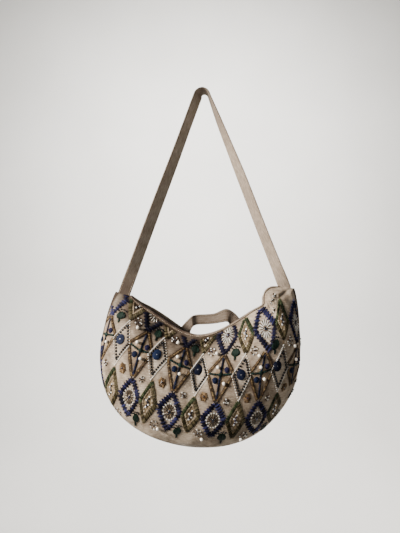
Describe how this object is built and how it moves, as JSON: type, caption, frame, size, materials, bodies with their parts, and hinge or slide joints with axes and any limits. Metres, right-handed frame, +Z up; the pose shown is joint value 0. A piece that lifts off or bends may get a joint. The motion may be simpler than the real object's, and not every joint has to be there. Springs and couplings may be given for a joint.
{
  "type": "embroidered shoulder bag",
  "caption": "Half-moon canvas shoulder bag with an embroidered and beaded front, open bound mouth, flat shoulder strap and short carry handle, hanging by its strap.",
  "frame": {"origin": "top of the strap's loop, where the bag hangs", "axes": "+Z up, +X to the viewer's right, -Y out of the embroidered front"},
  "size_m": [0.3997, 0.106, 0.7151],
  "materials": {
    "embroidered_canvas": "woven canvas with thread and bead embroidery",
    "plain_canvas": "plain woven canvas",
    "strap_canvas": "doubled canvas band with edge stitching",
    "piping_cord": "dark covered cord",
    "pearl": "pearly white"
  },
  "bodies": {
    "root": {"front_panel": "embroidered_canvas", "back_panel": "plain_canvas", "edge_piping": "piping_cord", "front_mouth_binding": "plain_canvas", "back_mouth_binding": "plain_canvas", "shoulder_strap": "strap_canvas", "carry_handle": "strap_canvas", "pearl_01": "pearl", "pearl_02": "pearl", "pearl_03": "pearl", "pearl_04": "pearl", "pearl_05": "pearl", "pearl_06": "pearl", "pearl_07": "pearl", "pearl_08": "pearl", "pearl_09": "pearl", "pearl_10": "pearl", "pearl_11": "pearl", "pearl_12": "pearl", "pearl_13": "pearl", "pearl_14": "pearl", "pearl_15": "pearl", "pearl_16": "pearl", "pearl_17": "pearl", "pearl_18": "pearl"}
  },
  "joints": []
}
